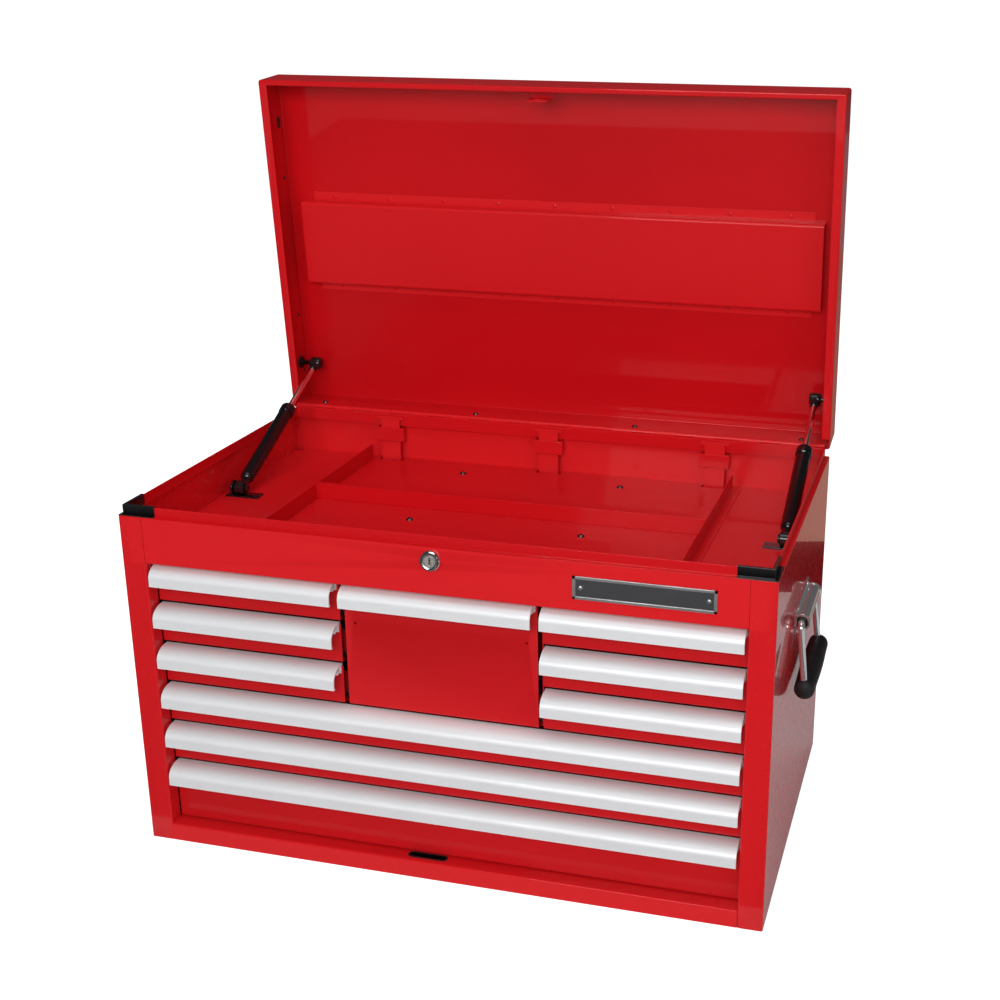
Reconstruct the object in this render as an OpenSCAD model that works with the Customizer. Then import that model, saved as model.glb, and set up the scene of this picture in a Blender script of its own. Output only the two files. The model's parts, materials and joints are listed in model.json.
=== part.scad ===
// Steel top chest for tools: hinged lid on gas struts over a shallow till, ten drawers in
// three upper columns and three full-width rows, and a swinging carry handle on each side.
// Frame: X across the front, Y from the front (-Y) to the back (+Y), Z up.
// The origin is the centre of the flat base. The lid is drawn open and the drawers shut.

/* [Case] */
// Overall width of the case
body_w = 688; // [640:1:740]
// Overall depth of the case
body_d = 408; // [400:1:430]
// Height of the ledge that the lid rests on
body_h = 381; // [381:1:400]
// Thickness of the folded case sheet
sheet = 1.2; // [1:0.1:1.5]
// Width of each front stile beside the drawers
stile_w = 26.5; // [22:0.5:32]
// Height of the upturned rail below the bottom drawer
foot_rail_h = 20; // [16:1:20]
// Height of the underside of the top rail
top_rail_z = 330; // [330:1:334]
// How far the drawer fronts sit behind the face of the case
recess = 18; // [16:0.5:18]

/* [Rim and till] */
// Width of the ledge outside the upstanding lip
ledge_w = 5; // [4:0.5:6]
// Height of the lip above the ledge
lip_h = 10; // [8:0.5:10]
// Leg length of the black corner caps
cap_leg = 40; // [30:1:50]
// Height of the till floor
till_z = 334; // [334:1:340]
// Height of the strips that divide the till floor
divider_h = 19; // [12:1:24]
// Distance of the depth-wise dividers from the middle
divider_x = 232; // [225:1:240]
// Distance of the cross divider from the front face
cross_y = 228; // [200:1:240]

/* [Drawers] */
// Height of the top edge of the first row of drawer fronts
first_row_top = 326.5; // [326:0.5:327]
// Pitch of the rows
row_pitch = 47; // [46:0.5:47]
// Gap between one drawer front and the next
row_gap = 3; // [2:0.5:4]
// Gap between the fronts of neighbouring columns
column_gap = 5.25; // [5:0.25:6]
// Thickness of the tray sheet
tray_t = 1; // [0.8:0.1:1.2]
// Depth of the trays behind the front
tray_d = 340; // [300:5:340]
// Thickness of the pull extrusion
pull_t = 1.8; // [1.4:0.1:2.2]
// Height of the pull from its lip to its top
pull_h = 21.5; // [19:0.5:24]
// How far the pull stands out of the face of the case
pull_proud = 2.5; // [0:0.5:5]

/* [Lid] */
// Height of the lid above the ledge
lid_h = 63; // [60:1:70]
// Opening angle of the lid as drawn
lid_open = 85; // [0:1:85]
// Height of the closed lid's free edge above the ledge
lid_gap = 12; // [12:0.1:12.4]
// Width of the lip turned in along the lid's sides
return_lip = 9; // [6:0.5:10]
// Near edge of the stiffener, measured from the hinge axis
stiffener_near = 153; // [140:1:170]
// Width of the raised band of the stiffener
stiffener_w = 100; // [80:1:120]

/* [Hinge, struts and lock] */
// Outer radius of the hinge knuckles
knuckle_r = 2.6; // [2.4:0.1:2.8]
// Radius of the hinge pin
hinge_pin_r = 1.25; // [1:0.05:1.5]
// Radius of the gas strut cylinders
strut_r = 8.5; // [7:0.5:9]
// Radius of the gas strut rods
strut_rod_r = 3.5; // [3:0.25:4]
// Outer radius of the lock ring
lock_ring_r = 11.25; // [9:0.25:12]

/* [Side handles] */
// Distance between the tops of a bail's two legs
bail_span = 102; // [100:1:110]
// How far each leg splays along the case on its way down
bail_splay = 8; // [4:1:12]
// Height of the bail's pivot
bail_z = 279; // [260:1:290]
// Drop from the pivot to the middle of the grip
bail_drop = 69; // [60:1:80]
// Radius of the bail wire
bail_r = 3.5; // [2.5:0.25:4]
// Length of the chrome sleeve that carries the bail
sleeve_len = 92; // [80:1:92]
// Outer radius of the sleeve
sleeve_r = 8.4; // [7:0.1:8.8]
// Radius of the rubber grip
grip_r = 12; // [10:0.5:12.5]

/* [Hidden] */

$fn = 48;
red = [0.78, 0.07, 0.09];
tray_red = [0.7, 0.07, 0.09];
silver = [0.86, 0.87, 0.88];
black = [0.06, 0.06, 0.065];
zinc = [0.3, 0.31, 0.33];
chrome = [0.8, 0.81, 0.83];

hw = body_w / 2;
hd = body_d / 2;
open_hw = hw - stile_w;
lip_top = body_h + lip_h;
// half width of the front's full-width plates
plate_hw = open_hw - 1;
column_w = (2 * plate_hw - 2 * column_gap) / 3;
column_x = column_w + column_gap;
// distance from a plate's edge to the wall that carries its slide
wall_gap = 1.825;
post_x = plate_hw + wall_gap;
wall_t = column_gap - 2 * wall_gap;
slide_w = 12.2;
// width of the gap between sheets that are welded or riveted to each other
seam = 0.05;
slide_h = 30;
runner_gap = 0.6;
plate_back = recess + sheet;
tray_back = plate_back + tray_d;
slide_front = recess + 7;
slide_back = tray_back - 6;
// part of the top rail's face that belongs to the folded sides
seam_in = 47.5;
bar_x = 208;
bar_y = body_d - 11;
hinge_y = body_d - 3.8;
hinge_z = lip_top + knuckle_r;
hinge_hw = hw - 6;
knuckles = 26;
knuckle_pitch = 2 * hinge_hw / knuckles;
lid_top = body_h + lid_h;
lid_bottom = body_h + lid_gap;
panel_in = lid_top - sheet;
strut_x = 321;
strut_low_y = 215;
strut_low_z = 344;
// the upper pivot in the closed lid, forward of the hinge axis and above it
stud_a = 47;
stud_b = 30;
stud_y = hinge_y - stud_a * cos(lid_open) + stud_b * sin(lid_open);
stud_z = hinge_z + stud_a * sin(lid_open) + stud_b * cos(lid_open);
strut_len = norm([stud_y - strut_low_y, stud_z - strut_low_z]);
strut_tilt = atan2(stud_z - strut_low_z, stud_y - strut_low_y);
strut_tube = 147;
rod_start = 96;
lock_z = 367;
handle_y = 192;
bail_x = hw + 6.5;
bail_out = 8;
grip_over = 8;

function row_top(k) = first_row_top - row_pitch * (k - 1);
function row_bottom(k) = row_top(k) - row_pitch + row_gap;

// y of a point at a given distance behind the face of the case
function yf(v) = v - hd;

module box(x0, x1, y0, y1, z0, z1) {
    translate([x0, yf(y0), z0])
        cube([x1 - x0, y1 - y0, z1 - z0]);
}

module both_sides() {
    children();
    mirror([1, 0, 0])
        children();
}

// a cylinder along X, Y or Z from a to b at the other two coordinates
module rod_x(x0, x1, y, z, r) {
    translate([x0, yf(y), z])
        rotate([0, 90, 0])
            cylinder(r = r, h = x1 - x0);
}

module rod_y(x, y0, y1, z, r) {
    translate([x, yf(y0), z])
        rotate([-90, 0, 0])
            cylinder(r = r, h = y1 - y0);
}

// ---- case ----

module side() {
    box(hw - sheet, hw, 0, body_d, 0, body_h - sheet);
    box(open_hw, hw - sheet, 0, sheet, 0, top_rail_z);
    box(hw - seam_in, hw - sheet, 0, sheet, top_rail_z, body_h - sheet);
    box(open_hw, open_hw + sheet, sheet, recess - 0.5, foot_rail_h, top_rail_z);
}

module side_right() {
    color(red)
        side();
}

module side_left() {
    color(red)
        mirror([1, 0, 0])
            side();
}

module back_panel() {
    color(red)
        box(-hw + sheet, hw - sheet, body_d - sheet, body_d, 0, body_h - sheet);
}

module finger_slot() {
    slot_x = -20;
    slot_y = 12;
    half = 17;
    box(slot_x - half, slot_x + half, slot_y - 4, slot_y + 4, foot_rail_h - 5, foot_rail_h + 5);
    for (s = [-1, 1])
        translate([slot_x + s * half, yf(slot_y), foot_rail_h - 5])
            cylinder(r = 4, h = 10);
}

module bottom_pan() {
    rail_back = recess + 6;
    color(red)
        difference() {
            union() {
                box(-hw + sheet, hw - sheet, sheet, body_d - sheet, 0, sheet);
                box(-open_hw, open_hw, 0, sheet, 0, foot_rail_h);
                box(-open_hw, open_hw, sheet, rail_back, foot_rail_h - sheet, foot_rail_h);
                box(-open_hw, open_hw, rail_back, rail_back + sheet, sheet, foot_rail_h);
            }
            finger_slot();
        }
}

module top_rail() {
    face_hw = hw - seam_in;
    color(red)
        difference() {
            union() {
                box(-face_hw, face_hw, 0, sheet, top_rail_z, body_h - sheet);
                box(-open_hw, open_hw, sheet, recess - 0.5, top_rail_z, top_rail_z + sheet);
            }
            rod_y(0, -1, sheet + 1, lock_z, 9.3);
        }
}

// rectangular ring between two insets from the outline of the case
module ring(inset_out, inset_in, z0, z1) {
    difference() {
        box(-hw + inset_out, hw - inset_out, inset_out, body_d - inset_out, z0, z1);
        box(-hw + inset_in, hw - inset_in, inset_in, body_d - inset_in, z0 - 1, z1 + 1);
    }
}

module rim() {
    color(red) {
        ring(0, ledge_w + sheet, body_h - sheet, body_h);
        ring(ledge_w, ledge_w + sheet, body_h - sheet, lip_top);
    }
}

module cap_ring(inset_out, inset_in, z0, z1) {
    difference() {
        box(hw - cap_leg, hw - inset_out, inset_out, cap_leg, z0, z1);
        box(hw - cap_leg - 1, hw - inset_in, inset_in, cap_leg + 1, z0 - 1, z1 + 1);
    }
}

module corner_cap() {
    skin = 1.2;
    cap_ring(0.2, ledge_w, body_h, body_h + 0.8);
    cap_ring(ledge_w - skin, ledge_w, body_h + 0.8, lip_top + skin);
    cap_ring(ledge_w, ledge_w + sheet, lip_top, lip_top + skin);
    cap_ring(ledge_w + sheet, ledge_w + sheet + skin, body_h, lip_top + skin);
}

module corner_caps() {
    color(black)
        both_sides()
            corner_cap();
}

module till_floor() {
    notch = 9;
    color(red)
        difference() {
            box(-hw + sheet, hw - sheet, sheet, body_d - sheet, till_z - sheet, till_z);
            for (x = [-bar_x, 0, bar_x])
                box(x - 15, x + 15, bar_y - 4, bar_y + 5, till_z - 3, till_z + 1);
            both_sides()
                box(hw - sheet - notch, hw, body_d - sheet - notch, body_d, till_z - 3, till_z + 1);
        }
}

module till_dividers() {
    top = till_z + divider_h;
    strip_back = body_d - 16;
    color(red) {
        both_sides() {
            box(divider_x - sheet, divider_x, 16, strip_back, till_z, top);
            box(divider_x, divider_x + 10, 16, strip_back, till_z, till_z + sheet);
        }
        box(-divider_x, divider_x, cross_y, cross_y + sheet, till_z, top);
        box(-divider_x, divider_x, cross_y + sheet, cross_y + 7, top - sheet, top);
    }
}

module pan_head(r, h) {
    cylinder(r = r, h = h * 0.5);
    translate([0, 0, h * 0.5])
        cylinder(r1 = r, r2 = r * 0.62, h = h * 0.5);
}

module till_screws() {
    color(zinc)
        for (x = [-100, 100], y = [190, 364])
            translate([x, yf(y), till_z])
                pan_head(4.2, 2.6);
}

module column_walls() {
    face = column_w / 2 + wall_gap;
    base = row_bottom(3) - 0.9;
    color(red)
        both_sides() {
            box(face, face + wall_t, slide_front + 2, tray_back + 30, base, till_z - sheet);
            box(face - 12, face - seam, slide_front + 2, tray_back + 30, till_z - 2 * sheet,
                till_z - sheet);
        }
}

module middle_shelf() {
    top = row_bottom(3) - 0.9;
    color(red)
        box(-post_x, post_x, slide_front + 2, tray_back + 30, top - sheet, top);
}

module slide_post(y) {
    wall = 1.6;
    box(post_x, post_x + wall, y, y + 30, sheet, till_z - sheet);
    for (leg = [y, y + 30 - wall])
        box(post_x + wall + seam, hw - sheet, leg, leg + wall, sheet, till_z - sheet);
}

module slide_posts() {
    color(zinc)
        both_sides() {
            slide_post(slide_front);
            slide_post(slide_back - 30);
        }
}

// drawers as [middle of the front in x, front's width, bottom, top, slide's mid height]
function drawer_at(x, w, low, high) = [x, w, low, high, low + min(19.5, (high - low) / 2)];
left_1 = drawer_at(-column_x, column_w, row_bottom(1), row_top(1));
left_2 = drawer_at(-column_x, column_w, row_bottom(2), row_top(2));
left_3 = drawer_at(-column_x, column_w, row_bottom(3), row_top(3));
right_1 = drawer_at(column_x, column_w, row_bottom(1), row_top(1));
right_2 = drawer_at(column_x, column_w, row_bottom(2), row_top(2));
right_3 = drawer_at(column_x, column_w, row_bottom(3), row_top(3));
centre = drawer_at(0, column_w, row_bottom(3), row_top(1));
wide_1 = drawer_at(0, 2 * plate_hw, row_bottom(4), row_top(4));
wide_2 = drawer_at(0, 2 * plate_hw, row_bottom(5), row_top(5));
wide_3 = drawer_at(0, 2 * plate_hw, foot_rail_h + 1.5, row_top(6));
drawers = [left_1, left_2, left_3, right_1, right_2, right_3, centre, wide_1, wide_2, wide_3];

// extrudes a profile drawn as (x, z) along Y
module along_y(y0, y1) {
    translate([0, yf(y1), 0])
        rotate([90, 0, 0])
            linear_extrude(y1 - y0)
                children();
}

module channel_profile() {
    h = slide_h / 2;
    t = 1.2;
    lip = 3.5;
    polygon([[0, -h], [t, -h], [t, h], [0, h]]);
    for (side = [-1, 1])
        scale([1, side])
            polygon([[t + seam, h - t], [slide_w - t, h - t], [slide_w - t, h - lip],
                [slide_w, h - lip], [slide_w, h], [t + seam, h]]);
}

module slide_channels() {
    color(zinc)
        for (d = drawers, s = [-1, 1]) {
            wall = d[1] / 2 + wall_gap;
            translate([d[0] + s * wall, 0, d[4]])
                along_y(slide_front, slide_back)
                    scale([-s, 1])
                        channel_profile();
        }
}

// ---- drawers ----

module runner(d) {
    wall = d[1] / 2 + wall_gap;
    inner = slide_h / 2 - 1.2 - runner_gap;
    neck = slide_h / 2 - 3.5 - runner_gap;
    side_x = wall - slide_w - 0.9;
    box(wall - 10.4, wall - 2, slide_front + 4, slide_back - 8, d[4] - inner, d[4] + inner);
    box(side_x + seam, wall - 10.4, slide_front + 4, slide_back - 8, d[4] - neck, d[4] + neck);
}

// a tray is spot-welded from separate sheets, which stay a seam apart
module tray(d) {
    w = d[1] / 2;
    low = d[2];
    high = d[3];
    side_x = w + wall_gap - slide_w - 0.9;
    side_top = high - 6;
    floor_top = low + 2 * tray_t;
    behind_plate = plate_back + seam;
    hem = 5;
    color(tray_red)
        translate([d[0], 0, 0]) {
            difference() {
                box(-w, w, recess, plate_back, low, high - 1.8);
                if (high - low > 100)
                    both_sides()
                        rod_y(w - 11.5, recess - 1, plate_back + 1, high - 45.5, 1.5);
            }
            box(-w, w, behind_plate, plate_back + hem, low, low + tray_t);
            box(-side_x, side_x, behind_plate, tray_back, low + tray_t, floor_top);
            box(seam - side_x + tray_t, side_x - tray_t - seam, tray_back - tray_t, tray_back,
                floor_top + seam, side_top - 4);
            both_sides() {
                box(side_x - tray_t, side_x, behind_plate, tray_back, floor_top + seam, side_top);
                box(side_x - 5, side_x - tray_t, behind_plate, tray_back, side_top - tray_t,
                    side_top);
                runner(d);
            }
        }
}

// the pull's curved front, drawn as (distance behind the case's face, height below its top)
function pull_arc(a, b, from, to, steps) =
    [for (i = [0:steps]) let (q = from + (to - from) * i / steps)
        [a * cos(q), b * sin(q)]];

module pull_profile() {
    mid_y = recess - 2;
    mid_z = -12.5;
    reach = mid_y + pull_proud;
    outer = pull_arc(reach, -mid_z, 180, 90, 12);
    inner = pull_arc(reach - pull_t, -mid_z - pull_t + 0.1, 90, 180, 12);
    hook = plate_back + 0.3;
    leg = recess - 1.6;
    polygon(concat(
        [[-pull_proud, -pull_h]],
        [for (p = outer) [mid_y + p[0], mid_z + p[1]]],
        [[hook + 1.4, 0], [hook + 1.4, -5.5], [hook, -5.5], [hook, -1.5], [recess, -1.5],
         [recess, -10], [leg, -10], [leg, -pull_t + 0.1]],
        [for (p = inner) [mid_y + p[0], mid_z + p[1]]],
        [[pull_t - pull_proud, -pull_h + 2], [pull_t - pull_proud + 1.3, -pull_h + 1.3],
         [pull_t - pull_proud + 1.3, -pull_h]]));
}

module pull_scroll(half) {
    difference() {
        rod_x(-half, half, 8.5, -5.6, 3);
        rod_x(-half - 1, half + 1, 8.5, -5.6, 1.7);
        box(-half - 1, half + 1, 7.7, 9.3, -9, -6);
    }
}

module pull(d) {
    half = d[1] / 2 - 2;
    color(silver)
        translate([d[0], 0, d[3]]) {
            translate([-half, -hd, 0])
                rotate([90, 0, 90])
                    linear_extrude(2 * half)
                        pull_profile();
            pull_scroll(half);
        }
}

module tray_left_1() { tray(left_1); }
module tray_left_2() { tray(left_2); }
module tray_left_3() { tray(left_3); }
module tray_right_1() { tray(right_1); }
module tray_right_2() { tray(right_2); }
module tray_right_3() { tray(right_3); }
module tray_centre() { tray(centre); }
module tray_wide_1() { tray(wide_1); }
module tray_wide_2() { tray(wide_2); }
module tray_wide_3() { tray(wide_3); }
module pull_left_1() { pull(left_1); }
module pull_left_2() { pull(left_2); }
module pull_left_3() { pull(left_3); }
module pull_right_1() { pull(right_1); }
module pull_right_2() { pull(right_2); }
module pull_right_3() { pull(right_3); }
module pull_centre() { pull(centre); }
module pull_wide_1() { pull(wide_1); }
module pull_wide_2() { pull(wide_2); }
module pull_wide_3() { pull(wide_3); }

// ---- lock, badge and lock bars ----

module lock_housing() {
    color(chrome)
        difference() {
            union() {
                translate([0, yf(-2), lock_z])
                    rotate([90, 0, 0])
                        cylinder(r1 = lock_ring_r, r2 = lock_ring_r - 1.6, h = 2.5);
                rod_y(0, -2, 0, lock_z, lock_ring_r);
                rod_y(0, 0, 22, lock_z, 9.25);
                translate([0, yf(sheet), lock_z])
                    rotate([-90, 0, 0])
                        cylinder(r = 13, h = 4, $fn = 6);
            }
            rod_y(0, -6, 23, lock_z, 6.3);
        }
}

module lock_plug() {
    color(chrome) {
        difference() {
            rod_y(0, -4, 23.5, lock_z, 6.25);
            box(-0.9, 0.9, -5, -1, lock_z - 3.8, lock_z + 3.8);
        }
        rod_y(0, 23.5, 26, lock_z, 6.25);
        box(-20, 0, 23.5, 26, lock_z - 5, lock_z + 5);
    }
}

module badge() {
    badge_x = 216;
    half = 71;
    z = 355;
    color(chrome)
        difference() {
            union() {
                box(badge_x - half, badge_x + half, -1, 0, z - 12, z + 12);
                box(badge_x - half + 1, badge_x + half - 1, -1.8, -1, z - 11, z + 11);
            }
            box(badge_x - half + 4, badge_x + half - 4, -2, -1, z - 8, z + 8);
        }
}

module lock_bars() {
    low = 34;
    color(red)
        for (x = [-bar_x, 0, bar_x]) {
            box(x - 12.5, x + 12.5, bar_y, bar_y + 2, low, lip_top - 2);
            for (k = [1:6])
                box(x - 8, x + 8, bar_y - 8, bar_y, row_top(k) - 16, row_top(k) - 14);
        }
}

module bar_guides() {
    z0 = 358;
    z1 = 375;
    front = bar_y - 2;
    back = body_d - sheet;
    color(red)
        for (x = [-bar_x, 0, bar_x]) {
            box(x - 18, x + 18, front, front + 1.4, z0, z1);
            for (s = [-1, 1]) {
                box(x + s * 15.7 - 2.3, x + s * 15.7 + 2.3, front + 1.4, back, z0, z1);
            }
        }
}

// ---- side handles ----

// rolled sleeve on a backplate, with the bail's top wire running through it
module handle_sleeve() {
    y0 = handle_y - sleeve_len / 2;
    y1 = handle_y + sleeve_len / 2;
    wall = 1.4;
    plate = hw + 1.4;
    difference() {
        union() {
            box(hw, plate, y0, y1, bail_z - 15, bail_z + 13);
            rod_y(bail_x, y0, y1, bail_z, sleeve_r);
            box(hw, bail_x, y0, y1, bail_z - sleeve_r, bail_z + sleeve_r);
            // flared mouths
            for (y = [y0, y1 - 2.4])
                rod_y(bail_x, y, y + 2.4, bail_z, sleeve_r + 1.2);
        }
        rod_y(bail_x, y0 - 1, y1 + 1, bail_z, sleeve_r - wall);
        box(plate, bail_x, y0 - 1, y1 + 1, bail_z - sleeve_r + wall, bail_z + sleeve_r - wall);
        box(hw - 20, hw, y0 - 1, y1 + 1, bail_z - 20, bail_z + 20);
    }
    for (y = [y0 + 8, y1 - 8], z = [bail_z - 12, bail_z + 11])
        translate([plate, yf(y), z])
            rotate([0, 90, 0])
                cylinder(r = 2, h = 1);
    box(hw, plate, y1, y1 + 7, bail_z + 2, bail_z + 13);
}

module handle_plates() {
    color(chrome)
        both_sides()
            handle_sleeve();
}

// one leg of the bail, from its top wire out and down to the grip; s is -1 for the front one
module bail_leg(s, r) {
    run = [bail_out, s * bail_splay, -bail_drop];
    translate([bail_x, yf(handle_y + s * bail_span / 2), bail_z])
        rotate([0, acos(run[2] / norm(run)), atan2(run[1], run[0])])
            cylinder(r = r, h = norm(run));
}

// wire bail of the right side, hanging
module bail() {
    half = bail_span / 2 + bail_r;
    low = half + bail_splay;
    low_z = bail_z - bail_drop;
    rod_y(bail_x, handle_y - half, handle_y + half, bail_z, bail_r);
    rod_y(bail_x + bail_out, handle_y - low, handle_y + low, low_z, bail_r);
    for (s = [-1, 1])
        bail_leg(s, bail_r * 0.95);
}

// half profile of the grip with rounded ends, as (radius, distance from the middle)
module grip_profile(half) {
    round_r = 8;
    steps = 8;
    polygon(concat(
        [[0, -half]],
        [for (i = [0:steps]) let (q = -90 + 90 * i / steps)
            [grip_r - round_r + round_r * cos(q), -half + round_r + round_r * sin(q)]],
        [for (i = [0:steps]) let (q = 90 * i / steps)
            [grip_r - round_r + round_r * cos(q), half - round_r + round_r * sin(q)]],
        [[0, half]]));
}

module grip() {
    low = bail_span / 2 + bail_splay;
    bore = bail_r * 1.1;
    low_x = bail_x + bail_out;
    low_z = bail_z - bail_drop;
    difference() {
        translate([low_x, yf(handle_y), low_z])
            rotate([90, 0, 0])
                rotate_extrude()
                    grip_profile(low + grip_over);
        rod_y(low_x, handle_y - low - 4.5, handle_y + low + 4.5, low_z, bore);
        for (s = [-1, 1])
            bail_leg(s, bail_r * 1.03);
    }
}

module bail_right() {
    color(chrome)
        bail();
}

module bail_left() {
    color(chrome)
        mirror([1, 0, 0])
            bail();
}

module grip_right() {
    color(black)
        grip();
}

module grip_left() {
    color(black)
        mirror([1, 0, 0])
            grip();
}

// ---- lid and hinge ----

// turns what is drawn for the closed lid to the lid's open place
module on_lid() {
    translate([0, yf(hinge_y), hinge_z])
        rotate([-lid_open, 0, 0])
            translate([0, -yf(hinge_y), -hinge_z])
                children();
}

module knuckle(i) {
    x0 = -hinge_hw + i * knuckle_pitch;
    rod_x(x0 + 0.2, x0 + knuckle_pitch - 0.2, hinge_y, hinge_z, knuckle_r);
}

module hinge_case_leaf() {
    leaf_y = body_d - ledge_w - sheet - 1.2;
    color(red)
        difference() {
            union() {
                box(-hinge_hw, hinge_hw, leaf_y, leaf_y + 1.2, lip_top - 14, lip_top - 0.3);
                for (i = [0:2:knuckles - 1]) {
                    x0 = -hinge_hw + i * knuckle_pitch;
                    knuckle(i);
                    box(x0 + 0.2, x0 + knuckle_pitch - 0.2, leaf_y, leaf_y + 1.2,
                        lip_top - 0.3, hinge_z);
                }
            }
            rod_x(-hinge_hw - 1, hinge_hw + 1, hinge_y, hinge_z, hinge_pin_r + 0.05);
        }
}

module hinge_pin() {
    color(zinc)
        rod_x(-hinge_hw + 0.2, hinge_hw - 0.2, hinge_y, hinge_z, hinge_pin_r);
}

module hinge_lid_leaf() {
    leaf_y = body_d - sheet - 1.2;
    color(red)
        on_lid()
            difference() {
                union() {
                    box(-hinge_hw, hinge_hw, leaf_y, leaf_y + 1.2, hinge_z + 3, hinge_z + 26);
                    for (i = [1:2:knuckles - 1]) {
                        x0 = -hinge_hw + i * knuckle_pitch;
                        knuckle(i);
                        box(x0 + 0.2, x0 + knuckle_pitch - 0.2, leaf_y, leaf_y + 1.2,
                            hinge_z, hinge_z + 3);
                    }
                }
                rod_x(-hinge_hw - 1, hinge_hw + 1, hinge_y, hinge_z, hinge_pin_r + 0.05);
            }
}

module lid_shell() {
    box(-hw, hw, 0, body_d, panel_in, lid_top);
    box(-hw, hw, 0, sheet, lid_bottom, panel_in);
    box(-hw, hw, body_d - sheet, body_d, hinge_z + 2.9, panel_in);
    both_sides() {
        box(hw - sheet, hw, sheet, body_d - sheet, lid_bottom, panel_in);
        box(hw - sheet - return_lip, hw - sheet, 6, body_d - 13, lid_bottom, lid_bottom + sheet);
    }
    box(-hw + sheet, hw - sheet, sheet, 6, lid_bottom, lid_bottom + sheet);
}

module lid_pan() {
    hole_z = hinge_z + 38;
    color(red)
        on_lid()
            difference() {
                lid_shell();
                // holes through both side flanges: three small ones and an oval one
                for (a = [34, 108, 282])
                    rod_x(-hw - 1, hw + 1, hinge_y - a, hole_z, 2.2);
                for (a = [346, 352])
                    rod_x(-hw - 1, hw + 1, hinge_y - a, hole_z, 4);
            }
}

module lid_stiffener() {
    near = hinge_y - stiffener_near;
    far = near - stiffener_w;
    depth = 14;
    half = 322;
    color(red)
        on_lid() {
            box(-half, half, far, near, panel_in - depth, panel_in - depth + sheet);
            box(-half, half, far, far + sheet, panel_in - depth + sheet, panel_in);
            box(-half, half, near - sheet, near, panel_in - depth + sheet, panel_in);
            box(-half + 12, half - 12, far - 12, far, panel_in - sheet, panel_in);
            box(-half + 12, half - 12, near, near + 12, panel_in - sheet, panel_in);
        }
}

module lid_strike() {
    color(red)
        on_lid()
            difference() {
                union() {
                    box(-12, 12, sheet, 15.5, 406, 407.5);
                    box(-12, 12, 14, 15.5, 384, 406);
                }
                box(-5, 5, 13, 17, 387, 394);
            }
}

module lid_screws() {
    color(zinc)
        on_lid()
            for (x = [-308, -103, 103, 308])
                translate([x, yf(body_d - sheet - 1.2), hinge_z + 19])
                    rotate([90, 0, 0])
                        pan_head(3.6, 2);
}

// ---- gas struts ----

// places a strut drawn upwards from its lower pivot
module on_strut() {
    translate([0, yf(strut_low_y), strut_low_z])
        rotate([strut_tilt - 90, 0, 0])
            children();
}

module strut_brackets() {
    ear = strut_x + 8;
    color(black)
        both_sides() {
            box(strut_x - 24, ear + 9, strut_low_y - 8, strut_low_y + 8, till_z, till_z + 2);
            box(ear, ear + 2.5, strut_low_y - 8, strut_low_y + 8, till_z + 2, strut_low_z);
            rod_x(ear, ear + 2.5, strut_low_y, strut_low_z, 8);
            rod_x(strut_x - 6.4, ear, strut_low_y, strut_low_z, 3);
            rod_x(strut_x - 8.4, strut_x - 6.4, strut_low_y, strut_low_z, 5);
        }
}

module strut_cylinder() {
    color(black)
        difference() {
            union() {
                rod_x(strut_x - 6, strut_x + 6.4, strut_low_y, strut_low_z, 8);
                on_strut() {
                    translate([strut_x, 0, 6])
                        cylinder(r = 5, h = 12);
                    translate([strut_x, 0, 14])
                        cylinder(r = strut_r, h = strut_tube - 14);
                    translate([strut_x, 0, strut_tube - 12])
                        cylinder(r = strut_r + 1, h = 12);
                }
            }
            rod_x(strut_x - 12, strut_x + 9, strut_low_y, strut_low_z, 3.05);
            on_strut()
                translate([strut_x, 0, 17])
                    cylinder(r = strut_rod_r + 0.05, h = strut_tube);
        }
}

module strut_rod() {
    color(chrome)
        on_strut()
            translate([strut_x, 0, rod_start])
                cylinder(r = strut_rod_r, h = strut_len - 7 - rod_start);
}

module strut_socket() {
    color(black)
        difference() {
            union() {
                rod_x(strut_x - 6.5, strut_x + 6.5, stud_y, stud_z, 7.5);
                on_strut()
                    translate([strut_x, 0, strut_len - 13])
                        cylinder(r = 5, h = 10);
                rod_x(strut_x + 6.5, hw - 4, stud_y, stud_z, 3);
                rod_x(hw - 4, hw - sheet - 0.7, stud_y, stud_z, 8);
            }
            strut_rod();
        }
}

module strut_cylinder_right() { strut_cylinder(); }
module strut_rod_right() { strut_rod(); }
module strut_socket_right() { strut_socket(); }

module strut_cylinder_left() {
    mirror([1, 0, 0])
        strut_cylinder();
}

module strut_rod_left() {
    mirror([1, 0, 0])
        strut_rod();
}

module strut_socket_left() {
    mirror([1, 0, 0])
        strut_socket();
}

side_left();
side_right();
back_panel();
bottom_pan();
top_rail();
rim();
corner_caps();
till_floor();
till_dividers();
till_screws();
column_walls();
middle_shelf();
slide_posts();
slide_channels();
lock_housing();
lock_plug();
badge();
bar_guides();
lock_bars();
handle_plates();
bail_left();
bail_right();
grip_left();
grip_right();
hinge_case_leaf();
hinge_pin();
hinge_lid_leaf();
lid_pan();
lid_stiffener();
lid_strike();
lid_screws();
strut_brackets();
strut_cylinder_left();
strut_cylinder_right();
strut_rod_left();
strut_rod_right();
strut_socket_left();
strut_socket_right();
tray_left_1();
tray_left_2();
tray_left_3();
tray_right_1();
tray_right_2();
tray_right_3();
tray_centre();
tray_wide_1();
tray_wide_2();
tray_wide_3();
pull_left_1();
pull_left_2();
pull_left_3();
pull_right_1();
pull_right_2();
pull_right_3();
pull_centre();
pull_wide_1();
pull_wide_2();
pull_wide_3();
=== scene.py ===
"""Looks of the steel top chest: bent and bevelled sheet pieces, materials, light and camera.

The pieces are drawn in millimetres in the CAD frame (x across, y from front to back, z up), and
piece() scales a finished mesh to metres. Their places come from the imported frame. The floor, the
lights and the camera are given in metres.
"""
import json
import math

import bmesh
import bpy
from mathutils import Euler, Matrix, Vector

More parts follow.
